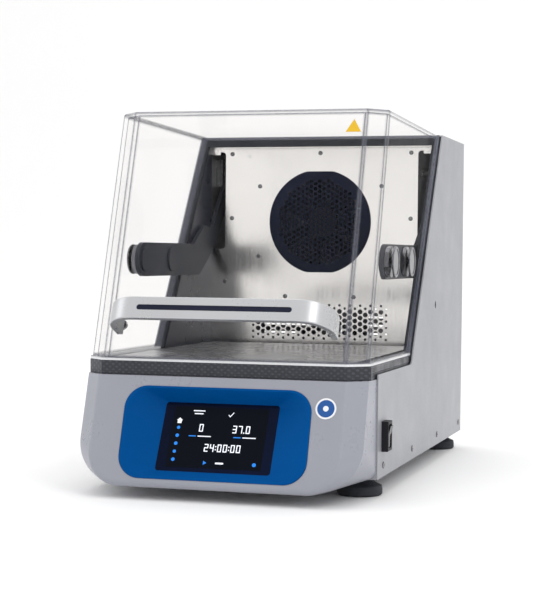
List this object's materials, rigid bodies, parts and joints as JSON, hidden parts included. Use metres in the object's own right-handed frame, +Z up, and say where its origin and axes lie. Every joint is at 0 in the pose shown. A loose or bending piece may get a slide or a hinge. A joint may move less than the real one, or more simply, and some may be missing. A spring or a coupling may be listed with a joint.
{
  "type": "incubated orbital shaker",
  "caption": "Benchtop incubated orbital shaker with a clear hinged lid, heated stainless chamber, orbiting platform and sloping touchscreen front.",
  "frame": {"origin": "centre of the footprint's bounding box, at the underside of the feet", "axes": "+Z up; -Y is the front with the display; +X is the machine's right-hand side seen from the front"},
  "size_m": [0.4026, 0.728, 0.5069],
  "materials": {
    "side_panel_left": "fine-textured light grey powder coat",
    "side_panel_right": "fine-textured light grey powder coat",
    "rear_panel": "fine-textured light grey powder coat",
    "top_panel": "fine-textured light grey powder coat",
    "base_pan": "fine-textured light grey powder coat",
    "front_cover": "satin moulded light grey plastic",
    "display_bezel": "semi-gloss deep blue plastic",
    "touchscreen": "glossy dark glass-fronted panel",
    "control_board": "green circuit board",
    "round_label": "glossy printed film",
    "base_gasket": "black moulded rubber",
    "seam_gasket": "black extruded rubber",
    "fan_grille": "black coated mesh",
    "chamber_floor": "brushed stainless sheet",
    "chamber_wall_left": "brushed stainless sheet",
    "chamber_wall_right": "brushed stainless sheet",
    "chamber_ceiling": "brushed stainless sheet",
    "chamber_back_wall": "brushed stainless sheet",
    "wall_screws": "bright stainless screw",
    "side_screws": "bright stainless screw",
    "platform_screws": "bright stainless screw",
    "handle_screws": "bright stainless screw",
    "slot_clips": "bright stainless tab",
    "fan_impeller": "black moulded fan",
    "fan_motor": "dark enamelled motor shell",
    "fan_bracket": "zinc-plated bracket",
    "heater_element": "heat-tinted steel tube",
    "temperature_probe": "bright stainless probe",
    "lid_shell": "clear acrylic",
    "lid_handle": "satin light grey moulding",
    "handle_inlay": "soft dark grip strip",
    "hinge_arm_left": "dark grey fine-textured coating",
    "hinge_arm_right": "dark grey fine-textured coating",
    "arm_bushes": "polished",
    "clamp_caps": "polished with dark recessed face",
    "clamp_bolts": "polished",
    "lid_marker": "printed film",
    "hinge_shaft": "ground steel",
    "hinge_bearings": "machined aluminium",
    "drive_frame": "black painted steel",
    "main_bearing": "machined casting",
    "idler_bearings": "machined casting",
    "drive_crank": "turned steel",
    "idler_crank_front": "turned steel",
    "idler_crank_rear": "turned steel",
    "driven_pulley": "turned aluminium with a half-round balance weight",
    "motor_spindle": "turned steel",
    "drive_belt": "matt black belt",
    "drive_motor": "black enamel",
    "motor_mount": "black painted steel",
    "platform": "brushed anodised plate",
    "platform_carrier": "milled plate",
    "platform_bearings": "ground rings",
    "power_supply": "perforated metal case",
    "power_inlet": "black moulded socket",
    "inlet_blades": "plated contacts",
    "switch_housing": "black moulding",
    "switch_rocker": "glossy black",
    "rubber_feet": "matt black rubber"
  },
  "bodies": {
    "housing": {"side_panel_left": "side_panel_left", "side_panel_right": "side_panel_right", "rear_panel": "rear_panel", "top_panel": "top_panel", "base_pan": "base_pan", "front_cover": "front_cover", "display_bezel": "display_bezel", "touchscreen": "touchscreen", "control_board": "control_board", "round_label": "round_label", "base_gasket": "base_gasket", "seam_gasket": "seam_gasket", "fan_grille": "fan_grille", "chamber_floor": "chamber_floor", "chamber_wall_left": "chamber_wall_left", "chamber_wall_right": "chamber_wall_right", "chamber_ceiling": "chamber_ceiling", "chamber_back_wall": "chamber_back_wall", "wall_screws": "wall_screws", "side_screws": "side_screws", "slot_clips": "slot_clips", "fan_motor": "fan_motor", "fan_bracket": "fan_bracket", "heater_element": "heater_element", "temperature_probe": "temperature_probe", "hinge_bearings": "hinge_bearings", "drive_frame": "drive_frame", "main_bearing": "main_bearing", "idler_bearings": "idler_bearings", "drive_belt": "drive_belt", "drive_motor": "drive_motor", "motor_mount": "motor_mount", "power_supply": "power_supply", "power_inlet": "power_inlet", "inlet_blades": "inlet_blades", "switch_housing": "switch_housing", "rubber_feet": "rubber_feet"},
    "lid": {"lid_shell": "lid_shell", "lid_handle": "lid_handle", "handle_inlay": "handle_inlay", "handle_screws": "handle_screws", "hinge_arm_left": "hinge_arm_left", "hinge_arm_right": "hinge_arm_right", "arm_bushes": "arm_bushes", "clamp_caps": "clamp_caps", "clamp_bolts": "clamp_bolts", "hinge_shaft": "hinge_shaft", "lid_marker": "lid_marker"},
    "crank": {"drive_crank": "drive_crank", "driven_pulley": "driven_pulley"},
    "idler_front": {"idler_crank_front": "idler_crank_front"},
    "idler_rear": {"idler_crank_rear": "idler_crank_rear"},
    "shaking_platform": {"platform": "platform", "platform_carrier": "platform_carrier", "platform_screws": "platform_screws", "platform_bearings": "platform_bearings"},
    "motor_rotor": {"motor_spindle": "motor_spindle"},
    "fan": {"fan_impeller": "fan_impeller"},
    "rocker": {"switch_rocker": "switch_rocker"}
  },
  "joints": [
    {"name": "lid_hinge", "type": "hinge", "parent": "housing", "child": "lid", "pos_m": [-0.00488, 0.258, 0.446], "axis": [-1, 0, 0], "range_deg": [0, 55]},
    {"name": "crank_spin", "type": "hinge", "parent": "housing", "child": "crank", "pos_m": [-0.00488, -0.07, 0.1], "axis": [0, 0, 1], "continuous": true},
    {"name": "platform_orbit", "type": "hinge", "parent": "crank", "child": "shaking_platform", "pos_m": [-0.00488, -0.0795, 0.164], "axis": [0, 0, 1], "continuous": true},
    {"name": "idler_front_spin", "type": "hinge", "parent": "housing", "child": "idler_front", "pos_m": [-0.12288, -0.212, 0.133], "axis": [0, 0, 1], "continuous": true},
    {"name": "idler_rear_spin", "type": "hinge", "parent": "housing", "child": "idler_rear", "pos_m": [0.11312, 0.072, 0.133], "axis": [0, 0, 1], "continuous": true},
    {"name": "motor_spin", "type": "hinge", "parent": "housing", "child": "motor_rotor", "pos_m": [-0.00488, 0.253, 0.1], "axis": [0, 0, 1], "continuous": true},
    {"name": "fan_spin", "type": "hinge", "parent": "housing", "child": "fan", "pos_m": [-0.00488, 0.203, 0.3655], "axis": [0, 1, 0], "continuous": true},
    {"name": "power_rock", "type": "hinge", "parent": "housing", "child": "rocker", "pos_m": [0.19412, -0.2325, 0.0795], "axis": [0, 1, 0], "range_deg": [0, 14]}
  ],
  "couplings": [
    {"joint": "platform_orbit", "follows": "crank_spin", "ratio": -1},
    {"joint": "idler_front_spin", "follows": "crank_spin", "ratio": 1},
    {"joint": "idler_rear_spin", "follows": "crank_spin", "ratio": 1},
    {"joint": "motor_spin", "follows": "crank_spin", "ratio": 3}
  ]
}
